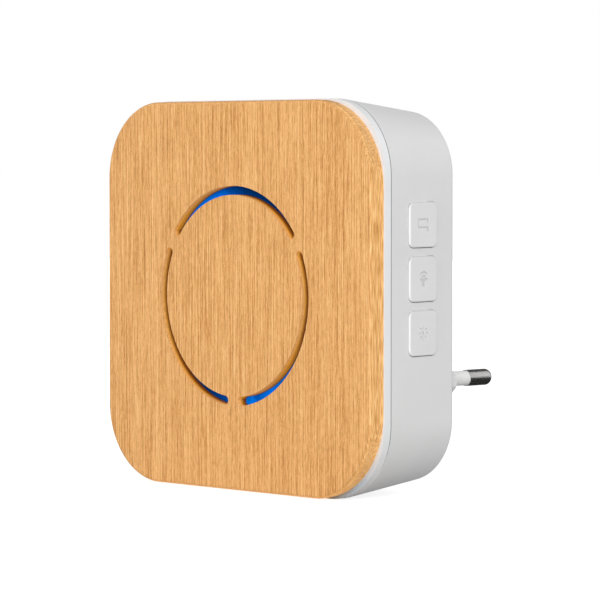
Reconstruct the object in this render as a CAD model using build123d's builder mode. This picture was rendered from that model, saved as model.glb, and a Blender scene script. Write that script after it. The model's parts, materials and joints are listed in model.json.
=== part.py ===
from build123d import *

import os
from math import atan, cos, degrees, radians, sin, sqrt

# Chime of a wireless doorbell, which plugs into a wall socket. Sizes are in millimetres.
# X runs to the right, Y from the front to the rear and Z up. The origin is the middle of
# the plug's engagement face, between the two pins. A depth is measured from the wooden
# face towards the rear, and a place is (x, z) from the middle of the case.

# Wooden front, set in a little from the case's edge
panel_inset = 0.3
panel_front_corner = 18.4
panel_rear_corner = 20.8
panel_thickness = 4.8
panel_edge_round = 0.8
slot_radius = 25.6
slot_width = 2.2
bridge_width = 3.6
bridge_angles = (30, 150, 270)
light_depth = 2.5

# Case
case_size = 95.0
case_corner = 18.4
case_depth = 30.8
rear_draw_in = 2.9
rear_corner = 15.4
rear_edge_round = 1.0
wall = 2.0
rear_wall = 2.4
bezel_strip = 2.1
bezel_plate = 3.6
seam_gap = 0.2
lip_length = 2.5
lip_thickness = 1.4
lip_gap = 0.15

# Light ring, its board and lamps: the circles are measured from the slots' middle line
ring_width = 5.4
ring_gap = 0.1
ring_base = 2.5
lamp_count = 12
lamp_size = (2.8, 3.5)
lamp_height = 1.6
lamp_lens_radius = 1.1
lamp_lens_depth = 0.2
lamp_window_radius = 2.4
ring_board_thickness = 1.0
ring_board_inward = 7.6
ring_board_outward = 4.0
ring_boss_height = 1.7
ring_boss_radius = 1.8
ring_boss_inward = 4.8
ring_boss_angles = (90, 210, 330)

# Adhesive sheets
adhesive_thickness = 0.2
adhesive_margin = 3.0
adhesive_gap = 0.6
adhesive_corner = 16.2

# Main board and the header that joins it to the ring board
board_margin = 6.5
board_corner = 14.0
board_thickness = 1.6
board_spacing = 2.1
post_radius = 2.5
post_place_x = 24.0
post_inset = 5.5
header_inward = 5.75
header_pitch = 2.54
header_pin_count = 4
header_width = 2.5
header_pin_side = 0.64
header_pin_tail = 1.0
hole_gap = 0.05

# Screws
screw_gap = 0.05
pilot_spare = 0.4
cross_width = 0.6
cross_depth = 0.5
cross_share = 0.7
case_screw_inset = 13.0
case_screw_radius = 1.3
case_screw_head_radius = 2.6
case_screw_head = 2.0
case_screw_length = 13.5
case_screw_recess = 6.8
recess_gap = 0.2
column_radius = 3.2
shell_column_radius = 4.0
shell_column_length = 6.0
column_notch_gap = 0.4
board_screw_radius = 1.1
board_screw_head_radius = 2.2
board_screw_head = 1.4
board_screw_length = 5.3
ring_screw_radius = 0.85
ring_screw_head_radius = 1.7
ring_screw_head = 1.0
ring_screw_length = 4.6

# Plug
plug_from_right = 24.9
plug_from_bottom = 27.0
pin_pitch = 18.6
pin_radius = 2.0
pin_length = 19.0
pin_tip_round = 1.3
pin_flange_rim = 1.1
pin_flange = 1.2
pin_tail = 2.0
pin_fit = 0.05
sleeve_step = 0.2
sleeve_wall = 0.5
sleeve_length = 11.0
boss_width = 35.3
boss_height = 13.7
boss_nose = 2.4
boss_length = 6.0
boss_corner = 1.0
boss_chamfer = 0.5
boss_wall = 1.8
boss_face_wall = 3.0
retainer_plate = 2.0
retainer_rim = 1.6
retainer_corner = 2.0
retainer_ear_width = 7.0
retainer_screw_offset = 10.5
retainer_screw_radius = 1.0
retainer_screw_head_radius = 2.0
retainer_screw_head = 1.2
retainer_screw_length = 6.0
retainer_boss_height = 3.0
retainer_boss_radius = 2.6
contact_sheet = 0.5
contact_width = 5.0
contact_foot = 3.5
contact_reach = 3.0
contact_arm = 2.0
contact_bend = 1.2

# Keys and their switches
key_names = ("melody", "volume", "light")
key_width = 10.4
key_height = 10.8
key_corner = 1.7
key_pitch = 12.8
key_middle = 4.9
key_raise = 0.5
key_edge_round = 0.35
key_gap = 0.15
key_travel = 0.5
key_flange_rim = 0.8
key_flange = 0.9
key_flange_gap = 0.1
key_stem_radius = 1.6
key_stem_length = 2.0
switch_height = 7.0
switch_width = 7.0
switch_length = 5.0
switch_over_axis = 3.15
plunger_radius = 1.75
plunger_out = 1.8
plunger_in = 1.0
plunger_gap = 0.1
plunger_room = 0.3

# Icons pressed into the keys, in each icon's own upright position
icon_depth = 0.2
note_height = 4.3
note_spacing = 1.9
note_line = 0.36
note_beam = 0.6
note_head_radii = (0.62, 0.48)
horn_height = 3.2
horn_box = (0.9, 1.3)
horn_bell = 1.0
horn_middle = 0.4
wave_radii = (1.1, 2.0)
wave_half_angle = 40
wave_line = 0.36
sun_radius = 0.55
sun_reach = 1.75
sun_ray = (0.8, 0.36)
sun_rays = 8

# Loudspeaker
speaker_radius = 18.0
speaker_margin = 11.0
flange_width = 2.0
basket_sheet = 0.6
basket_depth = 4.8
basket_flare = 5.2
basket_window_angle = 50
basket_window_width = 2.4
basket_windows = 4
gasket_thickness = 0.6
surround_thickness = 0.3
surround_roll = 0.75
surround_rim = 2.55
cone_sheet = 0.45
cone_room = 1.3
cone_gap = 0.08
coil_inner_radius = 3.35
coil_sheet = 0.3
coil_wire = 0.25
coil_wire_height = 2.2
coil_room = 0.8
coil_gap = 0.3
pole_plate = 0.8
pole_plate_radius = 9.0
magnet_thickness = 2.5
magnet_outer = 10.0
magnet_inner = 5.2
dust_cap_radius = 4.3
dust_cap_height = 1.2
dust_cap_sheet = 0.3
speaker_screw_angles = (45, 165, 285)
speaker_screw_outward = 2.3
speaker_boss_radius = 2.0
speaker_screw_radius = 0.95
speaker_screw_head_radius = 3.2
speaker_screw_head = 1.2
speaker_screw_length = 2.8
terminal_angle = -60
terminal_inward = 1.4
terminal_size = (6.0, 3.0)
terminal_thickness = 0.8
grille_inward = 5.0
grille_pitch = 3.6
grille_slot = 1.8
grille_slots = 7
wire_radius = 0.5
wire_pitch = 2.0
wire_lead_in = 4.5
wire_bend_share = 0.45
wire_wide_bend = 5.0
connector_place = (6.0, 0.0)
connector_size = (5.0, 6.0)
connector_height = 4.2

# Power supply, placed from the main board's left and lower edges
transformer_from_edges = (10.5, 25.0)
core_width = 13.0
core_height = 9.2
core_thickness = 6.0
core_leg = 1.3
core_middle_leg = 2.6
core_end = 2.0
bobbin_base = 0.9
bobbin_sheet = 0.5
bobbin_gap = 0.1
bobbin_reach = 5.8
bobbin_leg = 2.0
winding_reach = 5.2
winding_gap = 0.3
bulk_capacitors_from_edges = ((25.5, 27.5), (25.5, 18.5))
bulk_capacitor_radius = 4.0
bulk_capacitor_length = 12.0
bulk_capacitor_rise = 0.1
bulk_lead_reach = 1.8
bulk_lead_pitch = 3.5
output_capacitor_from_edges = (37.5, 21.5)
output_capacitor_radius = 3.15
output_capacitor_height = 7.5
groove_from_foot = 1.3
groove_width = 0.6
groove_depth = 0.3
suppression_from_edges = (33.0, 10.5)
suppression_size = (10.0, 4.5)
suppression_height = 9.0
suppression_round = 0.5
fuse_from_edges = (52.0, 5.0)
fuse_radius = 1.7
fuse_length = 7.0
fuse_end_round = 0.6
fuse_rise = 0.3
lead_radius = 0.35
lead_span = 10.3
lead_bend = 1.0
bridge_from_edges = (49.0, 13.5)
bridge_size = (6.4, 4.8)
bridge_legs = 2
regulator_from_edges = (10.0, 14.0)

# Flat packages, placed from the middle of the case
small_chip_size = (4.0, 5.2)
small_chip_legs = 4
processor_place = (13.0, 12.0)
processor_size = (5.4, 10.4)
processor_legs = 8
memory_place = (25.0, 19.0)
amplifier_place = (14.0, -2.0)
chip_height = 1.5
chip_rise = 0.1
leg_reach = 1.0
leg_width = 0.4
leg_height = 0.8
leg_pitch = 1.27

# Radio receiver at the top of the main board, and its aerial wire
radio_right = 11.0
radio_from_top = 7.5
radio_size = (18.0, 11.0)
radio_thickness = 1.0
radio_chip_left = 3.5
crystal_right = 5.0
crystal_size = (8.0, 3.6)
crystal_height = 2.0
aerial_radius = 0.6
aerial_rise = 0.3
aerial_inset = 1.7
aerial_bend = 5.0
aerial_drop = 43.0

# Outline of the wooden front
panel_size = case_size - 2 * panel_inset

# Depths that follow from the sizes above
boss_face_y = 0.0
front_y = boss_face_y - case_depth - boss_length
bezel_rear = panel_thickness + bezel_strip
shell_front = bezel_rear + seam_gap
plate_rear = panel_thickness + bezel_plate
lip_rear = plate_rear + lip_length
ring_front = panel_thickness + ring_gap
ring_rear = ring_front + ring_base
ring_board_front = plate_rear + ring_boss_height
ring_board_rear = ring_board_front + ring_board_thickness
board_front = ring_board_rear + board_spacing
board_rear = board_front + board_thickness
shell_floor = case_depth - rear_wall
screw_seat = case_depth - case_screw_recess
column_joint = screw_seat - shell_column_length
basket_rim = shell_floor - gasket_thickness - surround_thickness
basket_floor = basket_rim - basket_depth
basket_seat = basket_floor - basket_sheet
top_plate_front = basket_seat - pole_plate
magnet_front = top_plate_front - magnet_thickness
yoke_front = magnet_front - pole_plate
speaker_seat = basket_rim - basket_sheet
cone_neck = basket_floor + cone_room
retainer_rear = shell_floor - retainer_boss_height
retainer_front = retainer_rear - retainer_plate
key_depth = board_rear + switch_height - switch_over_axis

# Distances along the pins
pin_seat_y = boss_face_y - boss_face_wall
pin_flange_y = pin_seat_y - pin_flange
pin_tail_y = front_y + retainer_front - pin_tail

# Radii that follow from the sizes above
basket_floor_radius = speaker_radius - basket_flare
speaker_screw_circle = speaker_radius + speaker_screw_outward
grille_radius = speaker_radius - grille_inward
ring_inner = slot_radius - ring_width / 2
ring_outer = slot_radius + ring_width / 2
sleeve_radius = pin_radius - sleeve_step
pin_core_radius = sleeve_radius - sleeve_wall
pin_flange_radius = sleeve_radius + pin_flange_rim
pole_radius = coil_inner_radius - coil_gap
coil_outer_radius = coil_inner_radius + coil_sheet
top_plate_inner = coil_outer_radius + coil_wire + coil_gap

# Places that follow from the sizes above
plug_place = (case_size / 2 - plug_from_right, plug_from_bottom - case_size / 2)
case_x = -plug_place[0]
case_z = -plug_place[1]
speaker_reach = case_size / 2 - speaker_margin - speaker_radius
speaker_place = (-speaker_reach, speaker_reach)
board_size = case_size - 2 * board_margin
screw_reach = case_size / 2 - case_screw_inset
case_screw_places = [(x, z) for x in (-screw_reach, screw_reach) for z in (-screw_reach, screw_reach)]
post_reach = board_size / 2 - post_inset
post_places = [(x, z) for x in (-post_place_x, post_place_x) for z in (-post_reach, post_reach)]
header_place = (header_inward - slot_radius, 0)
header_hole = header_pin_side + 2 * hole_gap
retainer_screw_places = [
    (plug_place[0], plug_place[1] - retainer_screw_offset),
    (plug_place[0], plug_place[1] + retainer_screw_offset),
]
key_heights = [key_middle + key_pitch, key_middle, key_middle - key_pitch]


def facing(depth, place=(0, 0)):
    """Plane at a depth, seen from the front: its x runs right, its y up."""
    origin = (case_x + place[0], front_y + depth, case_z + place[1])
    return Plane(origin=origin, x_dir=(1, 0, 0), z_dir=(0, -1, 0))


def plug_facing(y):
    """Plane across the plug, seen from the front, at a distance along the pins."""
    return Plane(origin=(0, y, 0), x_dir=(1, 0, 0), z_dir=(0, -1, 0))


def side_facing(x, depth, z):
    """Plane across the X axis, seen from the right: its x runs rearward, its y up."""
    origin = (case_x + x, front_y + depth, case_z + z)
    return Plane(origin=origin, x_dir=(0, 1, 0), z_dir=(1, 0, 0))


def turning_plane(place):
    """Plane for a turned profile: its x is the radius, its y the depth."""
    origin = (case_x + place[0], front_y, case_z + place[1])
    return Plane(origin=origin, x_dir=(1, 0, 0), z_dir=(0, 0, 1))


def turning_axis(place):
    """Axis of a turned piece, along the depth."""
    return Axis((case_x + place[0], front_y, case_z + place[1]), (0, 1, 0))


def rods(places, radius, near, far, mode=Mode.ADD):
    """Round bars along the depth, from near to far, one at each place."""
    with BuildSketch(facing(far)) as outline:
        with Locations(*places):
            Circle(radius)
    extrude(outline.sketch, amount=far - near, mode=mode)


def tubes(places, outer, inner, near, far):
    """Round tubes along the depth, from near to far, one at each place."""
    with BuildSketch(facing(far)) as outline:
        with Locations(*places):
            Circle(outer)
            Circle(inner, mode=Mode.SUBTRACT)
    extrude(outline.sketch, amount=far - near)


def slab(place, size, near, far, mode=Mode.ADD, turn=0):
    """Rectangular block from depth near to depth far."""
    with BuildSketch(facing(far, place)) as outline:
        Rectangle(*size, rotation=turn)
    extrude(outline.sketch, amount=far - near, mode=mode)


def screws(places, radius, head_radius, head, length, seat, rearward):
    """Screws whose heads lie against the seat depth. Rearward is 1, or -1 for the front."""
    with BuildSketch(facing(seat)) as heads:
        with Locations(*places):
            Circle(head_radius)
    extrude(heads.sketch, amount=rearward * head)
    with BuildSketch(facing(seat)) as threads:
        with Locations(*places):
            Circle(radius)
    extrude(threads.sketch, amount=-rearward * length)
    with BuildSketch(facing(seat - rearward * head)) as crosses:
        with Locations(*places):
            Rectangle(2 * cross_share * head_radius, cross_width)
            Rectangle(cross_width, 2 * cross_share * head_radius)
    extrude(crosses.sketch, amount=-rearward * cross_depth, mode=Mode.SUBTRACT)


def on_circle(middle, radius, angles):
    """Places on a circle round a middle place."""
    places = []
    for angle in angles:
        x = middle[0] + radius * cos(radians(angle))
        z = middle[1] + radius * sin(radians(angle))
        places.append((x, z))
    return places


def on_board(from_edges):
    """Place of a part given by its distances from the board's left and lower edges."""
    return (from_edges[0] - board_size / 2, from_edges[1] - board_size / 2)


def shell_size_at(depth):
    """Outer size of the tapered shell at a depth."""
    share = (depth - shell_front) / (case_depth - shell_front)
    return case_size - 2 * rear_draw_in * share


def shell_corner_at(depth):
    """Outer corner radius of the tapered shell at a depth."""
    share = (depth - shell_front) / (case_depth - shell_front)
    return case_corner + (rear_corner - case_corner) * share


def shell_section(depth, inset):
    """Rounded square section of the shell, drawn in by an inset."""
    size = shell_size_at(depth) - 2 * inset
    with BuildSketch(facing(depth)) as outline:
        RectangleRounded(size, size, shell_corner_at(depth) - inset)
    return outline.sketch


def ring_arcs(width, mode=Mode.ADD):
    """Arc slots round the panel's middle, with a bridge between each two."""
    half_gap = degrees((bridge_width / 2 + slot_width / 2) / slot_radius)
    turn = 360 / len(bridge_angles) - 2 * half_gap
    for bridge in bridge_angles:
        start = bridge + half_gap
        middle_line = Edge.make_circle(slot_radius, Plane.XY, start_angle=start, end_angle=start + turn)
        SlotArc(middle_line, width, mode=mode)


def adhesive_outline(grow):
    """Outline of the large adhesive sheet, open round the light ring."""
    size = panel_size - 2 * adhesive_margin + 2 * grow
    RectangleRounded(size, size, adhesive_corner + grow)
    Circle(ring_outer + adhesive_gap - grow, mode=Mode.SUBTRACT)


def plug_outline(inset):
    """Long hexagon of the plug, whose noses are cut flat."""
    half_width = boss_width / 2
    half_height = boss_height / 2
    half_nose = boss_nose / 2
    shoulder = half_width - (half_height - half_nose)
    corners = [
        (half_width, -half_nose), (half_width, half_nose), (shoulder, half_height),
        (-shoulder, half_height), (-half_width, half_nose), (-half_width, -half_nose),
        (-shoulder, -half_height), (shoulder, -half_height),
    ]
    Polygon(*corners)
    if inset:
        offset(amount=-inset, kind=Kind.INTERSECTION, mode=Mode.REPLACE)


def finish(piece, name):
    """Label a piece and write it."""
    piece.part.label = name
    export_step(piece.part, f"parts/{name}.step")


os.makedirs("parts", exist_ok=True)

# Wooden front panel with its arc slots, its corners rounder at the rear than at the front
with BuildPart() as wood_front_panel:
    with BuildSketch(facing(panel_thickness)):
        RectangleRounded(panel_size, panel_size, panel_rear_corner)
    with BuildSketch(facing(0)):
        RectangleRounded(panel_size, panel_size, panel_front_corner)
    loft(ruled=True)
    with BuildSketch(facing(panel_thickness)):
        ring_arcs(slot_width)
    extrude(amount=panel_thickness, mode=Mode.SUBTRACT)
    front_face = wood_front_panel.faces().sort_by(Axis.Y)[0]
    fillet(front_face.outer_wire().edges(), panel_edge_round)
finish(wood_front_panel, "wood_front_panel")

# Adhesive sheets that hold the wood on the bezel
adhesive_rear = panel_thickness + adhesive_thickness
pad_radius = ring_inner - adhesive_gap

with BuildPart() as panel_adhesive:
    with BuildSketch(facing(adhesive_rear)):
        adhesive_outline(0)
    extrude(amount=adhesive_thickness)
finish(panel_adhesive, "panel_adhesive")

with BuildPart() as centre_adhesive_pad:
    rods([(0, 0)], pad_radius, panel_thickness, adhesive_rear)
finish(centre_adhesive_pad, "centre_adhesive_pad")

# Front bezel: strip round the edge, plate with the light ring's pocket, lip and posts
lip_size = shell_size_at(lip_rear) - 2 * (wall + lip_gap)
lip_corner = shell_corner_at(lip_rear) - wall - lip_gap
ring_boss_places = on_circle((0, 0), slot_radius - ring_boss_inward, ring_boss_angles)

with BuildPart() as front_bezel:
    with BuildSketch(facing(bezel_rear)):
        RectangleRounded(case_size, case_size, case_corner)
    extrude(amount=bezel_strip)
    with BuildSketch(facing(plate_rear)):
        RectangleRounded(lip_size, lip_size, lip_corner)
    extrude(amount=plate_rear - bezel_rear)
    with BuildSketch(facing(lip_rear)):
        RectangleRounded(lip_size, lip_size, lip_corner)
        offset(amount=-lip_thickness, mode=Mode.SUBTRACT)
    extrude(amount=lip_rear - plate_rear)
    rods(case_screw_places, column_radius, plate_rear, column_joint)
    rods(post_places, post_radius, plate_rear, board_front)
    rods(ring_boss_places, ring_boss_radius, plate_rear, ring_board_front)
    with BuildSketch(facing(ring_rear)):
        Circle(ring_outer + ring_gap)
        Circle(ring_inner - ring_gap, mode=Mode.SUBTRACT)
    extrude(amount=ring_rear - panel_thickness, mode=Mode.SUBTRACT)
    with BuildSketch(facing(plate_rear)):
        with PolarLocations(slot_radius, lamp_count):
            Circle(lamp_window_radius)
    extrude(amount=plate_rear - ring_rear, mode=Mode.SUBTRACT)
    with BuildSketch(facing(adhesive_rear)):
        adhesive_outline(hole_gap)
        Circle(pad_radius + hole_gap)
    extrude(amount=adhesive_thickness, mode=Mode.SUBTRACT)
    case_pilot_end = screw_seat - case_screw_length - pilot_spare
    rods(case_screw_places, case_screw_radius + screw_gap, case_pilot_end, column_joint, Mode.SUBTRACT)
    board_pilot_end = board_rear - board_screw_length - pilot_spare
    rods(post_places, board_screw_radius + screw_gap, board_pilot_end, board_front, Mode.SUBTRACT)
    ring_pilot_end = ring_board_rear - ring_screw_length - pilot_spare
    rods(ring_boss_places, ring_screw_radius + screw_gap, ring_pilot_end, ring_board_front, Mode.SUBTRACT)
finish(front_bezel, "front_bezel")

# Light ring: a flat base in the bezel's pocket, with ribs that stand in the wood's slots
with BuildPart() as light_ring:
    with BuildSketch(facing(ring_rear)):
        Circle(ring_outer)
        Circle(ring_inner, mode=Mode.SUBTRACT)
    extrude(amount=ring_base)
    with BuildSketch(facing(ring_front)):
        ring_arcs(slot_width - 2 * ring_gap)
    extrude(amount=ring_front - light_depth)
finish(light_ring, "light_ring")


def header_row():
    """Sketch places of the header's pins, in a row up the board."""
    return GridLocations(header_width, header_pitch, 1, header_pin_count)


# Ring board with its lamps
with BuildPart() as ring_board:
    with BuildSketch(facing(ring_board_rear)):
        Circle(slot_radius + ring_board_outward)
        Circle(slot_radius - ring_board_inward, mode=Mode.SUBTRACT)
        with Locations(*ring_boss_places):
            Circle(ring_screw_radius + screw_gap, mode=Mode.SUBTRACT)
        with Locations(header_place):
            with header_row():
                Rectangle(header_hole, header_hole, mode=Mode.SUBTRACT)
    extrude(amount=ring_board_thickness)
finish(ring_board, "ring_board")

with BuildPart() as ring_lamps:
    with BuildSketch(facing(ring_board_front)):
        with PolarLocations(slot_radius, lamp_count):
            Rectangle(*lamp_size)
    extrude(amount=lamp_height)
    with BuildSketch(facing(ring_board_front - lamp_height)):
        with PolarLocations(slot_radius, lamp_count):
            Circle(lamp_lens_radius)
    extrude(amount=-lamp_lens_depth, mode=Mode.SUBTRACT)
finish(ring_lamps, "ring_lamps")

with BuildPart() as ring_board_screws:
    screws(
        ring_boss_places, ring_screw_radius, ring_screw_head_radius, ring_screw_head,
        ring_screw_length, ring_board_rear, -1,
    )
finish(ring_board_screws, "ring_board_screws")

# Header that joins the two boards
with BuildPart() as board_header:
    with BuildSketch(facing(board_front, header_place)):
        Rectangle(header_width, header_pitch * header_pin_count)
        with header_row():
            Rectangle(header_hole, header_hole, mode=Mode.SUBTRACT)
    extrude(amount=board_spacing)
finish(board_header, "board_header")

with BuildPart() as header_pins:
    with BuildSketch(facing(board_rear + header_pin_tail, header_place)):
        with header_row():
            Rectangle(header_pin_side, header_pin_side)
    extrude(amount=board_rear - ring_board_front + 2 * header_pin_tail)
finish(header_pins, "header_pins")

# Main board on the bezel's posts
with BuildPart() as main_board:
    with BuildSketch(facing(board_rear)):
        RectangleRounded(board_size, board_size, board_corner)
        with Locations(*case_screw_places):
            Circle(shell_column_radius + column_notch_gap, mode=Mode.SUBTRACT)
        with Locations(*post_places):
            Circle(board_screw_radius + screw_gap, mode=Mode.SUBTRACT)
        with Locations(header_place):
            with header_row():
                Rectangle(header_hole, header_hole, mode=Mode.SUBTRACT)
    extrude(amount=board_thickness)
finish(main_board, "main_board")

with BuildPart() as board_screws:
    screws(
        post_places, board_screw_radius, board_screw_head_radius, board_screw_head,
        board_screw_length, board_rear, -1,
    )
finish(board_screws, "board_screws")

# Rear shell: tapered tub with the plug's boss, screw columns, grille and key windows
wall_angle = degrees(atan(rear_draw_in / (case_depth - shell_front)))
key_flange_width = key_width + 2 * key_flange_rim
key_flange_height = key_height + 2 * key_flange_rim
wall_outer_x = shell_size_at(key_depth) / 2
wall_inner_x = shell_size_at(key_depth + key_flange_width / 2) / 2 - wall
key_inner_x = wall_inner_x - key_flange_gap - key_flange
speaker_screw_places = on_circle(speaker_place, speaker_screw_circle, speaker_screw_angles)

with BuildPart() as rear_shell:
    loft([shell_section(shell_front, 0), shell_section(case_depth, 0)], ruled=True)
    rear_face = rear_shell.faces().sort_by(Axis.Y)[-1]
    fillet(rear_face.edges(), rear_edge_round)
    inner_sections = [shell_section(shell_front, wall), shell_section(shell_floor, wall)]
    loft(inner_sections, ruled=True, mode=Mode.SUBTRACT)
    with BuildSketch(plug_facing(boss_face_y)):
        plug_outline(0)
        fillet(vertices(), boss_corner)
    extrude(amount=boss_length + rear_wall)
    chamfer(rear_shell.faces().sort_by(Axis.Y)[-1].edges(), boss_chamfer)
    with BuildSketch(plug_facing(pin_seat_y)):
        plug_outline(boss_wall)
    extrude(amount=boss_length + rear_wall - boss_face_wall, mode=Mode.SUBTRACT)
    with BuildSketch(plug_facing(boss_face_y)):
        with GridLocations(pin_pitch, 1, 2, 1):
            Circle(sleeve_radius + pin_fit)
    extrude(amount=boss_face_wall, mode=Mode.SUBTRACT)
    rods(case_screw_places, shell_column_radius, column_joint, shell_floor)
    recess_radius = case_screw_head_radius + recess_gap
    rods(case_screw_places, recess_radius, screw_seat, case_depth, Mode.SUBTRACT)
    rods(case_screw_places, case_screw_radius + recess_gap, column_joint, screw_seat, Mode.SUBTRACT)
    rods(retainer_screw_places, retainer_boss_radius, retainer_rear, shell_floor)
    retainer_pilot_end = retainer_front + retainer_screw_length + pilot_spare
    rods(
        retainer_screw_places, retainer_screw_radius + screw_gap,
        retainer_rear, retainer_pilot_end, Mode.SUBTRACT,
    )
    rods(speaker_screw_places, speaker_boss_radius, speaker_seat, shell_floor)
    speaker_pilot_end = speaker_seat + speaker_screw_length + pilot_spare
    rods(
        speaker_screw_places, speaker_screw_radius + screw_gap,
        speaker_seat, speaker_pilot_end, Mode.SUBTRACT,
    )
    with BuildSketch(facing(case_depth, speaker_place)):
        for index in range(grille_slots):
            across = (index - (grille_slots - 1) / 2) * grille_pitch
            with Locations((across, 0)):
                SlotOverall(2 * sqrt(grille_radius**2 - across**2), grille_slot, rotation=90)
    extrude(amount=rear_wall, mode=Mode.SUBTRACT)
    for key_z in key_heights:
        with BuildSketch(side_facing(key_inner_x, key_depth, key_z)):
            RectangleRounded(key_width + 2 * key_gap, key_height + 2 * key_gap, key_corner + key_gap)
        extrude(amount=case_size / 2 - key_inner_x, mode=Mode.SUBTRACT)
finish(rear_shell, "rear_shell")

with BuildPart() as case_screws:
    screws(
        case_screw_places, case_screw_radius, case_screw_head_radius, case_screw_head,
        case_screw_length, screw_seat, -1,
    )
finish(case_screws, "case_screws")

# Pins, their sleeves and the strips that lead to the board
for side, pin_name in ((-1, "neutral"), (1, "live")):
    pin_x = side * pin_pitch / 2
    pin_plane = Plane(origin=(pin_x, boss_face_y, 0), x_dir=(1, 0, 0), z_dir=(0, 1, 0))

    with BuildPart() as pin:
        with BuildSketch(pin_plane.offset(pin_tail_y)):
            Circle(pin_core_radius)
        extrude(amount=sleeve_length - pin_tail_y)
        with BuildSketch(pin_plane.offset(pin_flange_y)):
            Circle(pin_flange_radius)
        extrude(amount=pin_flange)
        with BuildSketch(pin_plane.offset(sleeve_length)):
            Circle(pin_radius)
        extrude(amount=pin_length - sleeve_length)
        tip_face = pin.faces().sort_by(Axis.Y)[-1]
        fillet(tip_face.edges(), pin_tip_round)
    finish(pin, f"{pin_name}_pin")

    with BuildPart() as sleeve:
        with BuildSketch(pin_plane.offset(pin_seat_y)):
            Circle(sleeve_radius)
            Circle(pin_core_radius + pin_fit, mode=Mode.SUBTRACT)
        extrude(amount=sleeve_length - pin_seat_y)
    finish(sleeve, f"{pin_name}_pin_sleeve")

    foot_y = front_y + board_rear + contact_sheet / 2
    arm_y = pin_tail_y - contact_sheet / 2
    strip_points = [
        (pin_x - side * contact_foot, foot_y),
        (pin_x + side * contact_reach, foot_y),
        (pin_x + side * contact_reach, arm_y),
        (pin_x - side * contact_arm, arm_y),
    ]
    with BuildPart() as contact:
        with BuildSketch(Plane.XY.offset(-contact_width / 2)):
            with BuildLine():
                FilletPolyline(*strip_points, radius=contact_bend)
            trace(line_width=contact_sheet)
        extrude(amount=contact_width)
    finish(contact, f"{pin_name}_contact")

# Retainer that holds the pins' flanges against the boss
retainer_width = pin_pitch + 2 * (pin_flange_radius + retainer_rim)
retainer_height = 2 * (pin_flange_radius + retainer_rim)
retainer_ear_height = 2 * (retainer_screw_offset + retainer_boss_radius)

with BuildPart() as pin_retainer:
    with BuildSketch(facing(retainer_rear, plug_place)):
        RectangleRounded(retainer_width, retainer_height, retainer_corner)
        RectangleRounded(retainer_ear_width, retainer_ear_height, retainer_corner)
        with GridLocations(1, 2 * retainer_screw_offset, 1, 2):
            Circle(retainer_screw_radius + screw_gap, mode=Mode.SUBTRACT)
    extrude(amount=retainer_plate)
    with BuildSketch(plug_facing(pin_flange_y)):
        with GridLocations(pin_pitch, 1, 2, 1):
            Circle(pin_flange_radius)
    extrude(amount=pin_flange_y - front_y - retainer_rear)
    with BuildSketch(plug_facing(pin_flange_y)):
        with GridLocations(pin_pitch, 1, 2, 1):
            Circle(pin_core_radius + pin_fit)
    extrude(amount=pin_flange_y - front_y - retainer_front, mode=Mode.SUBTRACT)
finish(pin_retainer, "pin_retainer")

with BuildPart() as retainer_screws:
    screws(
        retainer_screw_places, retainer_screw_radius, retainer_screw_head_radius,
        retainer_screw_head, retainer_screw_length, retainer_front, 1,
    )
finish(retainer_screws, "retainer_screws")


def note_icon():
    """Two joined notes, each with its head to the left of its stem."""
    head_middle = note_head_radii[1] - note_height / 2
    stem_height = note_height - note_head_radii[1]
    for side in (-1, 1):
        stem_x = note_head_radii[0] / 2 + side * note_spacing / 2
        with Locations((stem_x, note_head_radii[1] / 2)):
            Rectangle(note_line, stem_height)
        with Locations((stem_x + note_line / 2 - note_head_radii[0], head_middle)):
            Ellipse(*note_head_radii)
    with Locations((note_head_radii[0] / 2, note_height / 2 - note_beam / 2)):
        Rectangle(note_spacing + note_line, note_beam)


def horn_icon():
    """Small horn with two arcs of sound."""
    box_right = horn_bell / 2 - horn_bell - horn_middle
    with Locations((box_right - horn_box[0] / 2, 0)):
        Rectangle(*horn_box)
    Polygon(
        (box_right, -horn_box[1] / 2), (box_right + horn_bell, -horn_height / 2),
        (box_right + horn_bell, horn_height / 2), (box_right, horn_box[1] / 2), align=None,
    )
    for radius in wave_radii:
        wave = Edge.make_circle(
            radius, Plane((-horn_middle, 0)), start_angle=-wave_half_angle, end_angle=wave_half_angle
        )
        SlotArc(wave, wave_line)


def sun_icon():
    """Disc with rays round it."""
    Circle(sun_radius)
    with PolarLocations(sun_reach - sun_ray[0] / 2, sun_rays):
        SlotOverall(*sun_ray)


def side_wall_plane(outward, z):
    """Plane parallel to the right side wall: its x runs up, its y towards the front."""
    origin = (case_x + wall_outer_x + outward, front_y + key_depth, case_z + z)
    normal = (cos(radians(wall_angle)), sin(radians(wall_angle)), 0)
    return Plane(origin=origin, x_dir=(0, 0, 1), z_dir=normal)


# Keys, plungers and switches, from the top one down
switch_front_x = key_inner_x - key_stem_length - plunger_out
key_icons = (note_icon, horn_icon, sun_icon)

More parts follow.
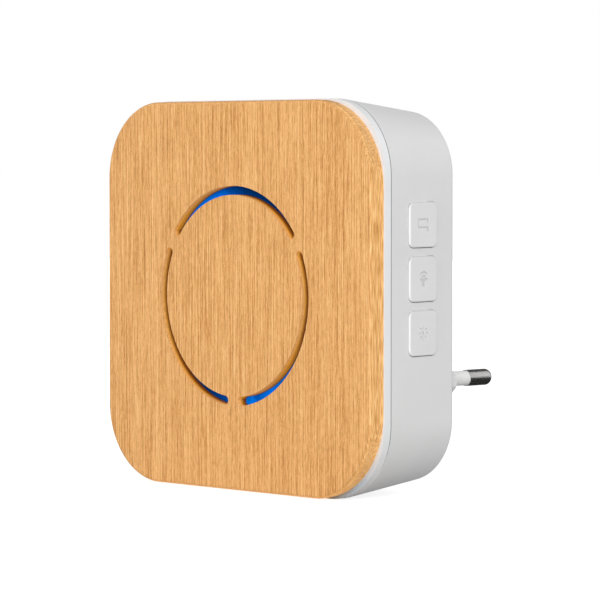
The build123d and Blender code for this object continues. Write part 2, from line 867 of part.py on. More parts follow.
for key_name, key_z, key_icon in zip(key_names, key_heights, key_icons):
    with BuildPart() as key:
        with BuildSketch(side_facing(key_inner_x, key_depth, key_z)):
            RectangleRounded(key_flange_width, key_flange_height, key_corner)
        extrude(amount=wall_outer_x - key_inner_x)
        split(bisect_by=side_wall_plane(-wall - key_flange_gap, key_z), keep=Keep.BOTTOM)
        with BuildSketch(side_facing(key_inner_x, key_depth, key_z)):
            RectangleRounded(key_width, key_height, key_corner)
        extrude(amount=case_size / 2 + key_raise - key_inner_x)
        split(bisect_by=side_wall_plane(key_raise, key_z), keep=Keep.BOTTOM)
        outer_face = key.faces().sort_by(Axis.X)[-1]
        fillet(outer_face.edges(), key_edge_round)
        with BuildSketch(side_wall_plane(key_raise, key_z)):
            key_icon()
        extrude(amount=-icon_depth, mode=Mode.SUBTRACT)
        with BuildSketch(side_facing(key_inner_x, key_depth, key_z)):
            Circle(key_stem_radius)
        extrude(amount=-key_stem_length)
    finish(key, f"{key_name}_button")

    with BuildPart() as plunger:
        with BuildSketch(side_facing(switch_front_x - plunger_in, key_depth, key_z)):
            Circle(plunger_radius)
        extrude(amount=plunger_in + plunger_out)
    finish(plunger, f"{key_name}_plunger")

    with BuildPart() as switch:
        switch_middle = board_rear + switch_height / 2
        with BuildSketch(side_facing(switch_front_x - switch_length, switch_middle, key_z)):
            Rectangle(switch_height, switch_width)
        extrude(amount=switch_length)
        with BuildSketch(side_facing(switch_front_x, key_depth, key_z)):
            Circle(plunger_radius + plunger_gap)
        extrude(amount=-(plunger_in + key_travel + plunger_room), mode=Mode.SUBTRACT)
    finish(switch, f"{key_name}_switch")

# Loudspeaker, which faces the rear grille
flange_inner = speaker_radius - flange_width
floor_outer = basket_floor_radius + basket_sheet

with BuildPart() as speaker_basket:
    with BuildSketch(turning_plane(speaker_place)):
        Polygon(
            (top_plate_inner, basket_seat), (floor_outer, basket_seat),
            (flange_inner + basket_sheet, speaker_seat), (speaker_radius, speaker_seat),
            (speaker_radius, basket_rim), (flange_inner, basket_rim),
            (basket_floor_radius, basket_floor), (top_plate_inner, basket_floor), align=None,
        )
    revolve(axis=turning_axis(speaker_place))
    with BuildSketch(facing(speaker_seat, speaker_place)):
        window_radius = (floor_outer + flange_inner) / 2
        for index in range(basket_windows):
            start = 360 / basket_windows * index - basket_window_angle / 2
            window = Edge.make_circle(
                window_radius, Plane.XY, start_angle=start, end_angle=start + basket_window_angle
            )
            SlotArc(window, basket_window_width)
    extrude(amount=speaker_seat - basket_floor, mode=Mode.SUBTRACT)
finish(speaker_basket, "speaker_basket")

with BuildPart() as speaker_top_plate:
    tubes([speaker_place], pole_plate_radius, top_plate_inner, top_plate_front, basket_seat)
finish(speaker_top_plate, "speaker_top_plate")

with BuildPart() as speaker_magnet:
    tubes([speaker_place], magnet_outer, magnet_inner, magnet_front, top_plate_front)
finish(speaker_magnet, "speaker_magnet")

with BuildPart() as speaker_yoke:
    rods([speaker_place], pole_plate_radius, yoke_front, magnet_front)
    rods([speaker_place], pole_radius, magnet_front, basket_seat)
finish(speaker_yoke, "speaker_yoke")

# Moving parts of the loudspeaker: coil, cone and dust cap
roll_outer = speaker_radius - surround_rim
roll_middle = roll_outer - surround_roll + surround_thickness
cone_edge_radius = roll_middle - surround_roll - cone_gap
wire_middle = basket_seat - pole_plate / 2

with BuildPart() as voice_coil:
    coil_front = magnet_front + coil_room
    coil_rear = cone_neck + cone_sheet
    wire_front = wire_middle - coil_wire_height / 2
    wire_rear = wire_middle + coil_wire_height / 2
    tubes([speaker_place], coil_outer_radius, coil_inner_radius, coil_front, coil_rear)
    tubes([speaker_place], coil_outer_radius + coil_wire, coil_inner_radius, wire_front, wire_rear)
finish(voice_coil, "voice_coil")

with BuildPart() as speaker_cone:
    with BuildSketch(turning_plane(speaker_place)):
        Polygon(
            (coil_outer_radius, cone_neck), (cone_edge_radius, basket_rim - cone_sheet),
            (cone_edge_radius, basket_rim), (coil_outer_radius, cone_neck + cone_sheet),
            align=None,
        )
    revolve(axis=turning_axis(speaker_place))
finish(speaker_cone, "speaker_cone")

with BuildPart() as dust_cap:
    cone_rise = basket_rim - cone_neck - cone_sheet
    cone_slope = cone_rise / (cone_edge_radius - coil_outer_radius)
    cap_seat = cone_neck + cone_sheet + cone_slope * (dust_cap_radius - coil_outer_radius)
    cap_inner = dust_cap_radius - dust_cap_sheet
    hollow_height = dust_cap_height - dust_cap_sheet
    with BuildSketch(turning_plane(speaker_place)):
        with BuildLine():
            outer_side = RadiusArc(
                (0, cap_seat + dust_cap_height), (dust_cap_radius, cap_seat),
                (dust_cap_radius**2 + dust_cap_height**2) / (2 * dust_cap_height),
            )
            rim_side = Line(outer_side @ 1, (cap_inner, cap_seat))
            inner_side = RadiusArc(
                rim_side @ 1, (0, cap_seat + hollow_height),
                -(cap_inner**2 + hollow_height**2) / (2 * hollow_height),
            )
            Line(inner_side @ 1, outer_side @ 0)
        make_face()
    revolve(axis=turning_axis(speaker_place))
finish(dust_cap, "dust_cap")

# Soft surround: a rim on the basket and a half roll, inside which the cone moves
with BuildPart() as speaker_surround:
    roll_inner = roll_middle - surround_roll
    with BuildSketch(turning_plane(speaker_place)):
        with Locations((roll_middle, basket_rim)):
            Circle(surround_roll)
            Circle(surround_roll - surround_thickness, mode=Mode.SUBTRACT)
        with Locations((roll_middle, basket_rim + surround_roll)):
            Rectangle(2 * surround_roll, 2 * surround_roll, mode=Mode.SUBTRACT)
        with Locations(((roll_outer + speaker_radius) / 2, basket_rim + surround_thickness / 2)):
            Rectangle(speaker_radius - roll_outer, surround_thickness)
        with Locations((roll_inner + surround_thickness / 2, basket_rim + surround_thickness / 2)):
            Rectangle(surround_thickness, surround_thickness)
    revolve(axis=turning_axis(speaker_place))
finish(speaker_surround, "speaker_surround")

with BuildPart() as speaker_gasket:
    gasket_front = shell_floor - gasket_thickness
    tubes([speaker_place], speaker_radius, flange_inner, gasket_front, shell_floor)
finish(speaker_gasket, "speaker_gasket")

with BuildPart() as speaker_screws:
    screws(
        speaker_screw_places, speaker_screw_radius, speaker_screw_head_radius,
        speaker_screw_head, speaker_screw_length, speaker_seat, 1,
    )
finish(speaker_screws, "speaker_screws")

# Terminal tab on the basket, connector on the board and the two wires between them
terminal_circle = basket_floor_radius - terminal_inward
terminal_place = on_circle(speaker_place, terminal_circle, [terminal_angle])[0]
terminal_turn = terminal_angle + 90
terminal_front = basket_seat - terminal_thickness
wire_depth = (board_rear + terminal_front) / 2
wire_bend = wire_bend_share * (terminal_front - wire_depth)

with BuildPart() as speaker_terminal:
    slab(terminal_place, terminal_size, terminal_front, basket_seat, turn=terminal_turn)
finish(speaker_terminal, "speaker_terminal")

with BuildPart() as speaker_connector:
    slab(connector_place, connector_size, board_rear, board_rear + connector_height)
finish(speaker_connector, "speaker_connector")

with BuildPart() as speaker_wires:
    entry_x = connector_place[0] - connector_size[0] / 2
    for side in (-1, 1):
        start = on_circle(terminal_place, side * wire_pitch / 2, [terminal_turn])[0]
        end_z = connector_place[1] + side * wire_pitch / 2
        route = [
            (case_x + start[0], front_y + terminal_front, case_z + start[1]),
            (case_x + start[0], front_y + wire_depth, case_z + start[1]),
            (case_x + entry_x - wire_lead_in, front_y + wire_depth, case_z + end_z),
            (case_x + entry_x, front_y + wire_depth, case_z + end_z),
        ]
        with BuildLine():
            path = FilletPolyline(*route, radius=(wire_bend, wire_wide_bend))
        with BuildSketch(Plane(origin=path @ 0, z_dir=path % 0)):
            Circle(wire_radius)
        sweep(path=path)
finish(speaker_wires, "speaker_wires")


def chip(place, size, legs, base=board_rear):
    """Flat package on a board, with legs along its left and right sides."""
    slab(place, size, base + chip_rise, base + chip_rise + chip_height)
    with BuildSketch(facing(base + leg_height, place)) as feet:
        with GridLocations(size[0] + leg_reach, leg_pitch, 2, legs):
            Rectangle(leg_reach, leg_width)
    extrude(feet.sketch, amount=leg_height)


# Flat packages on the main board
with BuildPart() as regulator_chip:
    chip(on_board(regulator_from_edges), small_chip_size, small_chip_legs)
finish(regulator_chip, "regulator_chip")

with BuildPart() as processor_chip:
    chip(processor_place, processor_size, processor_legs)
finish(processor_chip, "processor_chip")

with BuildPart() as memory_chip:
    chip(memory_place, small_chip_size, small_chip_legs)
finish(memory_chip, "memory_chip")

with BuildPart() as amplifier_chip:
    chip(amplifier_place, small_chip_size, small_chip_legs)
finish(amplifier_chip, "amplifier_chip")

with BuildPart() as bridge_rectifier:
    chip(on_board(bridge_from_edges), bridge_size, bridge_legs)
finish(bridge_rectifier, "bridge_rectifier")


def side_rod(place, depth, radius, start, end):
    """Round bar along X at a place, between two distances from it."""
    with BuildSketch(side_facing(place[0] + start, depth, place[1])) as outline:
        Circle(radius)
    extrude(outline.sketch, amount=end - start)


# Capacitors and fusible resistor of the power supply: the bulk capacitors lie on the board
with BuildPart() as bulk_capacitors:
    bulk_depth = board_rear + bulk_capacitor_rise + bulk_capacitor_radius
    bulk_end = bulk_capacitor_length / 2
    groove_end = bulk_end - groove_from_foot
    groove_start = groove_end - groove_width
    for from_edges in bulk_capacitors_from_edges:
        bulk_place = on_board(from_edges)
        side_rod(bulk_place, bulk_depth, bulk_capacitor_radius, -bulk_end, groove_start)
        side_rod(bulk_place, bulk_depth, bulk_capacitor_radius - groove_depth, groove_start, groove_end)
        side_rod(bulk_place, bulk_depth, bulk_capacitor_radius, groove_end, bulk_end)
        lead_start = case_x + bulk_place[0] + bulk_end
        for side in (-1, 1):
            lead_z = case_z + bulk_place[1] + side * bulk_lead_pitch / 2
            route = [
                (lead_start, front_y + bulk_depth, lead_z),
                (lead_start + bulk_lead_reach, front_y + bulk_depth, lead_z),
                (lead_start + bulk_lead_reach, front_y + board_rear, lead_z),
            ]
            with BuildLine():
                path = FilletPolyline(*route, radius=lead_bend)
            with BuildSketch(Plane(origin=path @ 0, z_dir=path % 0)):
                Circle(lead_radius)
            sweep(path=path)
finish(bulk_capacitors, "bulk_capacitors")

with BuildPart() as output_capacitor:
    output_places = [on_board(output_capacitor_from_edges)]
    groove_front = board_rear + groove_from_foot
    groove_rear = groove_front + groove_width
    rods(output_places, output_capacitor_radius, board_rear, groove_front)
    rods(output_places, output_capacitor_radius - groove_depth, groove_front, groove_rear)
    rods(output_places, output_capacitor_radius, groove_rear, board_rear + output_capacitor_height)
finish(output_capacitor, "output_capacitor")

with BuildPart() as suppression_capacitor:
    suppression_place = on_board(suppression_from_edges)
    slab(suppression_place, suppression_size, board_rear, board_rear + suppression_height)
    fillet(suppression_capacitor.edges().filter_by(Axis.Y), suppression_round)
finish(suppression_capacitor, "suppression_capacitor")

with BuildPart() as fuse_resistor:
    fuse_place = on_board(fuse_from_edges)
    fuse_depth = board_rear + fuse_rise + fuse_radius
    side_rod(fuse_place, fuse_depth, fuse_radius, -fuse_length / 2, fuse_length / 2)
    fillet(fuse_resistor.edges().filter_by(GeomType.CIRCLE), fuse_end_round)
    lead_left = case_x + fuse_place[0] - lead_span / 2
    lead_right = case_x + fuse_place[0] + lead_span / 2
    lead_z = case_z + fuse_place[1]
    lead_route = [
        (lead_left, front_y + board_rear, lead_z),
        (lead_left, front_y + fuse_depth, lead_z),
        (lead_right, front_y + fuse_depth, lead_z),
        (lead_right, front_y + board_rear, lead_z),
    ]
    with BuildLine():
        path = FilletPolyline(*lead_route, radius=lead_bend)
    with BuildSketch(Plane(origin=path @ 0, z_dir=path % 0)):
        Circle(lead_radius)
    sweep(path=path)
finish(fuse_resistor, "fuse_resistor")

# Transformer: double-E core through a bobbin that stands on the board
transformer_place = on_board(transformer_from_edges)
core_front = board_rear + bobbin_base
core_middle = core_front + core_height / 2
window_height = (core_height - core_middle_leg) / 2 - core_leg
window_width = core_width - 2 * core_end
window_offset = (core_middle_leg + window_height) / 2
bobbin_width = window_width - 2 * bobbin_gap
bobbin_height = core_middle_leg + 2 * window_height - 2 * bobbin_gap
bobbin_hole_height = core_middle_leg + 2 * bobbin_gap
bobbin_hole_length = core_thickness + 2 * bobbin_gap
tube_height = bobbin_hole_height + 2 * bobbin_sheet
tube_length = bobbin_hole_length + 2 * bobbin_sheet
spool_width = bobbin_width - 2 * bobbin_sheet


def transformer_block(width, depth_height, length, mode=Mode.ADD, offset_depth=0):
    """Block at the core's middle: width along X, height along the depth, length along Z."""
    origin = (
        case_x + transformer_place[0],
        front_y + core_middle + offset_depth,
        case_z + transformer_place[1],
    )
    with BuildSketch(Plane(origin=origin, x_dir=(1, 0, 0), z_dir=(0, 0, 1))) as outline:
        Rectangle(width, depth_height)
    extrude(outline.sketch, amount=length / 2, both=True, mode=mode)


with BuildPart() as transformer_core:
    transformer_block(core_width, core_height, core_thickness)
    for side in (-1, 1):
        transformer_block(
            window_width, window_height, core_thickness, Mode.SUBTRACT, side * window_offset
        )
finish(transformer_core, "transformer_core")

with BuildPart() as transformer_bobbin:
    transformer_block(bobbin_width, bobbin_height, 2 * bobbin_reach)
    transformer_block(spool_width, bobbin_height, 2 * bobbin_reach, Mode.SUBTRACT)
    transformer_block(spool_width, tube_height, tube_length)
    transformer_block(bobbin_width, bobbin_hole_height, bobbin_hole_length, Mode.SUBTRACT)
    slab(transformer_place, (core_width, 2 * bobbin_reach), board_rear, core_front)
    with BuildSketch(facing(core_middle, transformer_place)):
        with GridLocations(bobbin_width - bobbin_sheet, 2 * bobbin_reach - bobbin_leg, 2, 2):
            Rectangle(bobbin_sheet, bobbin_leg)
    extrude(amount=core_middle - board_rear)
finish(transformer_bobbin, "transformer_bobbin")

with BuildPart() as transformer_winding:
    winding_height = bobbin_height - 2 * winding_gap
    transformer_block(spool_width - 2 * hole_gap, winding_height, 2 * winding_reach)
    transformer_block(
        spool_width, tube_height + 2 * hole_gap, tube_length + 2 * hole_gap, Mode.SUBTRACT
    )
finish(transformer_winding, "transformer_winding")

# Radio receiver: a small board flat on the main board, its chip, crystal and aerial wire
radio_place = (radio_right, board_size / 2 - radio_from_top)
radio_rear = board_rear + radio_thickness

with BuildPart() as radio_board:
    slab(radio_place, radio_size, board_rear, radio_rear)
finish(radio_board, "radio_board")

with BuildPart() as radio_chip:
    radio_chip_place = (radio_place[0] - radio_chip_left, radio_place[1])
    chip(radio_chip_place, small_chip_size, small_chip_legs, base=radio_rear)
finish(radio_chip, "radio_chip")

with BuildPart() as crystal:
    crystal_place = (radio_place[0] + crystal_right, radio_place[1])
    with BuildSketch(facing(radio_rear + crystal_height, crystal_place)):
        SlotOverall(*crystal_size, rotation=90)
    extrude(amount=crystal_height)
finish(crystal, "crystal")

with BuildPart() as aerial_wire:
    aerial_y = front_y + board_rear + aerial_rise + aerial_radius
    aerial_line = board_size / 2 - aerial_inset
    aerial_start = radio_place[0] - radio_size[0] / 2
    route = [
        (case_x + aerial_start, aerial_y, case_z + aerial_line),
        (case_x - aerial_line, aerial_y, case_z + aerial_line),
        (case_x - aerial_line, aerial_y, case_z + aerial_line - aerial_drop),
    ]
    with BuildLine():
        path = FilletPolyline(*route, radius=aerial_bend)
    with BuildSketch(Plane(origin=path @ 0, z_dir=path % 0)):
        Circle(aerial_radius)
    sweep(path=path)
finish(aerial_wire, "aerial_wire")
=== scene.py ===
import json
from math import atan, cos, pi, radians, sin

import bpy
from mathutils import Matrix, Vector


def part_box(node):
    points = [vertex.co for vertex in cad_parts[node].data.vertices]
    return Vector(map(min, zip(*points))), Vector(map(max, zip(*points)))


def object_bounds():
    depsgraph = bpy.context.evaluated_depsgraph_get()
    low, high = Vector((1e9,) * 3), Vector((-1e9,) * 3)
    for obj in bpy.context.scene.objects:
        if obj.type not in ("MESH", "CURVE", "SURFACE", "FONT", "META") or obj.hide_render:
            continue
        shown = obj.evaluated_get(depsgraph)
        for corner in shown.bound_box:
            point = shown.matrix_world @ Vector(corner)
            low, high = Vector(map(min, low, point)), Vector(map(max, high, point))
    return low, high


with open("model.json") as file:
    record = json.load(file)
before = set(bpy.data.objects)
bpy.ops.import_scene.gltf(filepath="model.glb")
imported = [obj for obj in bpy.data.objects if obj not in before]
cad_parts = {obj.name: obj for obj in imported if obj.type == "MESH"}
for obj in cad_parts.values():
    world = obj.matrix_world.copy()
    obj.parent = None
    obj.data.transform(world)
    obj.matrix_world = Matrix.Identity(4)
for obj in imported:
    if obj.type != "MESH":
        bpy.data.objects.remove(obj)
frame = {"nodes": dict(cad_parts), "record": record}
cad_low, cad_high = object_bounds()
nodes = frame["nodes"]

MM = 0.001

# Places on the chime, worked out from its pieces
case_low, case_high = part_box("front_bezel")
case_x = (case_low.x + case_high.x) / 2
case_z = (case_low.z + case_high.z) / 2
front_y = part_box("wood_front_panel")[0].y
guide_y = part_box("light_ring")[0].y
floor_z = cad_low.z

# Slots: their circle, half their width, the spare by which their walls count as inside it, and the depth
# behind the face at which the walls begin
slot_radius = 25.6 * MM
slot_half = 1.1 * MM
slot_spare = 0.06 * MM
slot_edge = 0.1 * MM

# Seam between bezel and shell, behind which the side wall leans in by wall_lean over wall_run
seam_half = 0.1 * MM
seam_spare = 0.02 * MM
seam_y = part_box("rear_shell")[0].y - seam_half
wall_lean = 2.9 * MM
wall_run = 23.7 * MM
wall_tilt = atan(wall_lean / wall_run)

# Keys, one above the other on the side wall, which is key_wall from the case's middle where they stand
key_low, key_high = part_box("volume_button")
key_y = (key_low.y + key_high.y) / 2
key_z = (key_low.z + key_high.z) / 2
key_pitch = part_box("melody_button")[0].z - key_low.z
key_wall = 46.08 * MM


def linear(red, green, blue):
    """Linear colour of an 8-bit display colour."""
    values = []
    for channel in (red, green, blue):
        share = channel / 255
        values.append(share / 12.92 if share <= 0.04045 else ((share + 0.055) / 1.055) ** 2.4)
    return tuple(values)


class Graph:
    """A node tree that is filled one call at a time."""

    def __init__(self, owner):
        owner.use_nodes = True
        self.nodes = owner.node_tree.nodes
        self.links = owner.node_tree.links
        self.nodes.clear()

    def join(self, source, target):
        self.links.new(source, target)

    def feed(self, target, value):
        """Gives an input a source or a fixed value."""
        if isinstance(value, bpy.types.NodeSocket):
            self.join(value, target)
        elif target.type == "RGBA":
            target.default_value = (*value, 1.0)
        else:
            target.default_value = value

    def fill(self, inputs, values):
        """Gives inputs their sources or fixed values in turn."""
        for target, value in zip(inputs, values):
            self.feed(target, value)

    def supply(self, node, **values):
        """Gives a node's inputs their sources or fixed values by name."""
        for name, value in values.items():
            self.feed(node.inputs[name.replace("_", " ")], value)
        return node

    def add(self, kind, **values):
        """New shader node with sources or fixed values for its inputs by name."""
        return self.supply(self.nodes.new("ShaderNode" + kind), **values)

    def math(self, operation, *values):
        node = self.add("Math")
        node.operation = operation
        self.fill(node.inputs, values)
        return node.outputs[0]

    def times(self, first, second):
        return self.math("MULTIPLY", first, second)

    def vector(self, operation, *values):
        node = self.add("VectorMath")
        node.operation = operation
        self.fill(node.inputs, values)
        return node.outputs["Value" if operation in ("DOT_PRODUCT", "LENGTH") else "Vector"]

    def split(self, vector):
        """The part of a vector to the right, to the rear and upwards."""
        return self.add("SeparateXYZ", Vector=vector).outputs[:]

    def scaled(self, scale, source):
        return self.add("Mapping", Vector=source, Scale=scale).outputs[0]

    def ramp(self, value, stops):
        """Colour by value, with stops of a position and a linear colour."""
        node = self.add("ValToRGB", Fac=value)
        elements = node.color_ramp.elements
        while len(elements) < len(stops):
            elements.new(0.5)
        for element, (position, colour) in zip(elements, stops):
            element.position = position
            element.color = (*colour, 1.0)
        return node.outputs[0]

    def painted(self, value, stops):
        """Colour by value, with stops of a position and an 8-bit display colour."""
        return self.ramp(value, [(position, linear(*colour)) for position, colour in stops])

    def span(self, value, low, high, to_low=0.0, to_high=1.0):
        """A value between low and high as one between to_low and to_high, held at both ends."""
        node = self.add("MapRange")
        self.fill(node.inputs, (value, low, high, to_low, to_high))
        return node.outputs[0]

    def mix(self, share, first, second, blend="MIX"):
        """Mix of two colours, which a Mix node takes in inputs 6 and 7 and gives in output 2."""
        node = self.add("Mix")
        node.data_type = "RGBA"
        node.blend_type = blend
        self.fill([node.inputs[place] for place in (0, 6, 7)], (share, first, second))
        return node.outputs[2]

    def tinted(self, share, colour, factors):
        """A colour times factors for red, green and blue, by a share."""
        return self.mix(share, colour, factors, "MULTIPLY")

    def tone(self, value):
        """Grey of a value."""
        return self.add("CombineColor", Red=value, Green=value, Blue=value).outputs[0]

    def seen_or_reflected(self):
        """1 for rays from the camera and for those from gloss and glass, otherwise 0."""
        path = self.add("LightPath")
        seen = self.math("MAXIMUM", path.outputs["Is Camera Ray"], path.outputs["Is Glossy Ray"])
        return self.math("MAXIMUM", seen, path.outputs["Is Transmission Ray"])

    def either(self, share, first, second):
        """The first shader where the share is 0, the second where it is 1."""
        node = self.add("MixShader")
        self.fill(node.inputs, (share, first, second))
        return node.outputs[0]


class Look(Graph):
    """A material with a Principled shader, painted by the place and the direction of the surface."""

    def __init__(self, name, **values):
        self.material = bpy.data.materials.new(name)
        super().__init__(self.material)
        self.output = self.add("OutputMaterial")
        self.shader = self.add("BsdfPrincipled", **values)
        self.join(self.shader.outputs[0], self.output.inputs["Surface"])
        coordinates = self.add("TexCoord")
        self.place = coordinates.outputs["Object"]
        self.normal = coordinates.outputs["Normal"]

    def shade(self, **values):
        """Gives the Principled shader's inputs their sources by name."""
        self.supply(self.shader, **values)

    def noise(self, cells, detail=2.0, roughness=0.5, distortion=0.0):
        """Soft noise with so many cells to the metre, the same on all axes or three numbers."""
        scale = cells if isinstance(cells, tuple) else (cells, cells, cells)
        node = self.add(
            "TexNoise", Vector=self.scaled(scale, self.place),
            Scale=1.0, Detail=detail, Roughness=roughness, Distortion=distortion,
        )
        return node.outputs["Fac"]

    def patches(self, size):
        """Noise in soft patches of a size in millimetres."""
        return self.noise(1 / (size * MM), 3.0, 0.55)

    def two_tone(self, value, first, second):
        """One linear colour where a noise is low and another where it is high."""
        return self.ramp(value, [(0.35, first), (0.65, second)])

    def bump(self, height, distance, strength=1.0):
        relief = self.add("Bump", Height=height, Distance=distance, Strength=strength)
        self.shade(Normal=relief.outputs[0])

    def fine_grain(self, size, roughness, relief):
        """Grain of a size in millimetres, in a range of roughness and in relief."""
        grain = self.noise(1 / (size * MM))
        self.shade(Roughness=self.span(grain, 0.3, 0.7, *roughness))
        self.bump(grain, relief * MM)

    def from_slot_axis(self):
        """Way from the slots' middle, along the face."""
        offset = self.vector("SUBTRACT", self.place, (case_x, 0.0, case_z))
        return self.vector("MULTIPLY", offset, (1.0, 0.0, 1.0))


def surface(name, first, second, patch, grain, roughness, metallic, relief):
    """Plain surface with soft patches of two linear colours and a fine grain in roughness and relief."""
    graph = Look(name, Metallic=metallic)
    graph.shade(Base_Color=graph.two_tone(graph.patches(patch), first, second))
    graph.fine_grain(grain, roughness, relief)
    return graph.material


# Layers of the wood's grain: cells to the metre on each axis, detail, roughness, distortion and share
grain_layers = {
    "lines": ((8600, 2600, 90), 1.0, 0.6, 0.0, 0.38),
    "fibres": ((7600, 3000, 640), 1.0, 0.6, 0.0, 0.24),
    "pores": ((7600, 3000, 3600), 1.0, 0.5, 0.0, 0.11),
    "streaks": ((5200, 1100, 24), 1.0, 0.5, 0.0, 0.21),
    "bands": ((260, 120, 9), 2.0, 0.5, 0.2, 0.06),
}


def outer_wood(graph, grain, to_right, to_rear, to_top):
    """Colour of the panel's face, edges and corners, each by the way it faces, with painted light and
    shade on its side, edges and corners.
    """
    side_grain_share = 0.8
    painted_side_light_share = 0.55
    face = graph.painted(grain, [
        (0.38, (170, 111, 50)), (0.455, (206, 148, 83)), (0.5, (225, 166, 100)), (0.545, (237, 182, 117)),
        (0.62, (252, 204, 141)),
    ])
    end = graph.painted(graph.noise((1500, 240, 3400), 2.0, 0.6), [
        (0.36, (218, 160, 94)), (0.5, (236, 180, 114)), (0.64, (252, 204, 140)),
    ])
    side = graph.painted(graph.noise((3900, 3700, 230), 1.0, 0.5), [
        (0.34, (188, 130, 66)), (0.5, (223, 165, 99)), (0.66, (251, 202, 138)),
    ])
    on_end = graph.span(graph.math("ABSOLUTE", to_top), 0.25, 0.7, 0.0, 0.8)
    # Masks of painted light and shade, by the way the surface faces
    over_top = graph.times(graph.span(to_top, 0.3, 0.6), graph.span(to_right, 0.4, 0.1))
    away_from_light = graph.math("MAXIMUM", graph.span(to_right, -0.1, -0.4), over_top)
    painted_shade_edge = graph.times(graph.span(to_rear, -0.96, -0.7), away_from_light)
    on_side = graph.span(to_right, 0.75, 0.95)
    painted_shade_right_edge = graph.times(graph.span(to_right, 0.1, 0.35), graph.span(to_right, 0.92, 0.75))
    painted_light_corner = graph.times(graph.span(to_top, 0.4, 0.75), graph.span(to_right, 0.15, 0.4))
    painted_light_corner = graph.times(painted_light_corner, graph.span(to_rear, -0.7, -0.3))
    painted_light_low_corner = graph.times(graph.span(to_top, -0.3, -0.8), graph.span(to_rear, -0.9, -0.5))
    colour = graph.mix(on_end, face, end)
    # Painted shade on the edges turned away from the light
    colour = graph.tinted(painted_shade_edge, colour, (0.78, 0.72, 0.66))
    colour = graph.mix(graph.times(on_side, side_grain_share), colour, side)
    # Painted light on the right side, painted shade on the rounded right edge, painted light on the upper
    # right corner and on the low corner
    for share, factors in (
        (graph.times(on_side, painted_side_light_share), (1.3, 1.36, 1.42)),
        (painted_shade_right_edge, (0.85, 0.84, 0.84)),
        (painted_light_corner, (1.34, 1.36, 1.33)),
        (painted_light_low_corner, (1.12, 1.05, 0.84)),
    ):
        colour = graph.tinted(share, colour, factors)
    return colour


def slot_wall(graph, grain, inward, facing_down):
    """Colour of the slots' walls, with painted shade that darkens them towards the light guide, the lower
    walls sooner than the upper.
    """
    # Painted shade by depth in the slot: one ramp for the lower walls, one for the upper walls that face
    # down
    lower_wall = graph.painted(inward, [
        (0.0, (246, 184, 106)), (0.22, (248, 187, 102)), (0.36, (236, 172, 76)), (0.5, (210, 142, 38)),
        (0.62, (178, 110, 14)), (0.76, (150, 88, 2)), (1.0, (126, 70, 0)),
    ])
    upper_wall = graph.painted(inward, [
        (0.0, (236, 174, 84)), (0.4, (220, 150, 34)), (0.7, (206, 132, 10)), (0.85, (180, 116, 0)),
        (0.93, (136, 92, 0)), (1.0, (100, 70, 0)),
    ])
    wall_grain = graph.ramp(grain, [(0.42, (0.8, 0.8, 0.8)), (0.58, (1.0, 1.0, 1.0))])
    return graph.tinted(1.0, graph.mix(facing_down, lower_wall, upper_wall), wall_grain)


def oiled_wood():
    """Pale oiled wood with upright grain, whose lower edge and slots' walls get painted light as a slight
    emission.
    """
    lower_wall_painted_light = 0.12
    upper_wall_painted_light = 0.42
    low_edge_painted_light = 0.33
    graph = Look("oiled_wood", Specular_IOR_Level=0.25)
    grain = 0.0
    for *layer, share in grain_layers.values():
        grain = graph.math("MULTIPLY_ADD", graph.noise(*layer), share, grain)
    to_right, to_rear, to_top = graph.split(graph.normal)
    facing_down = graph.span(to_top, -0.35, -0.65)
    radius = graph.vector("LENGTH", graph.from_slot_axis())
    in_slot = graph.math("COMPARE", radius, slot_radius, slot_half + slot_spare)
    inward = graph.span(graph.split(graph.place)[1], front_y + slot_edge, guide_y)
    walled = graph.times(in_slot, graph.span(inward, 0.0, 0.1))
    outside = outer_wood(graph, grain, to_right, to_rear, to_top)
    colour = graph.mix(walled, outside, slot_wall(graph, grain, inward, facing_down))
    # Painted light: a slight emission on the slots' walls, most on those that face down, and on the edges
    # that face down outside the slots
    glow = graph.times(walled, graph.span(facing_down, 0.0, 1.0, lower_wall_painted_light, upper_wall_painted_light))
    behind_face = graph.span(to_rear, -0.9, -0.4)
    low_edge = graph.times(behind_face, graph.span(to_top, 0.2, -0.9, 0.0, low_edge_painted_light))
    glow = graph.math("MAXIMUM", glow, graph.times(low_edge, graph.math("SUBTRACT", 1.0, in_slot)))
    graph.shade(Base_Color=colour, Emission_Color=colour, Emission_Strength=glow)
    graph.shade(Roughness=graph.span(grain, 0.4, 0.6, 0.62, 0.48))
    graph.bump(grain, 0.05 * MM, 0.4)
    return graph.material


# Glow of the light guide, with painted light and shade that make it brighter and dimmer round the ring:
# degrees from the right, counted upwards, and display colour
painted_guide_glow_by_angle = [
    (-180, (0, 84, 180)), (-128, (0, 40, 90)), (-118, (0, 34, 82)), (-110, (0, 46, 110)),
    (-102, (0, 56, 124)), (-92, (0, 96, 190)), (-84, (0, 90, 180)), (-80.5, (0, 106, 214)),
    (-77, (0, 72, 158)), (-70.5, (0, 90, 186)), (-63, (0, 96, 204)), (-56, (0, 84, 166)),
    (-10, (0, 84, 180)), (30, (0, 36, 80)), (58, (0, 31, 74)), (86, (0, 36, 86)),
    (98, (0, 58, 134)), (108, (0, 90, 192)), (124, (0, 106, 214)), (180, (0, 84, 180)),
]


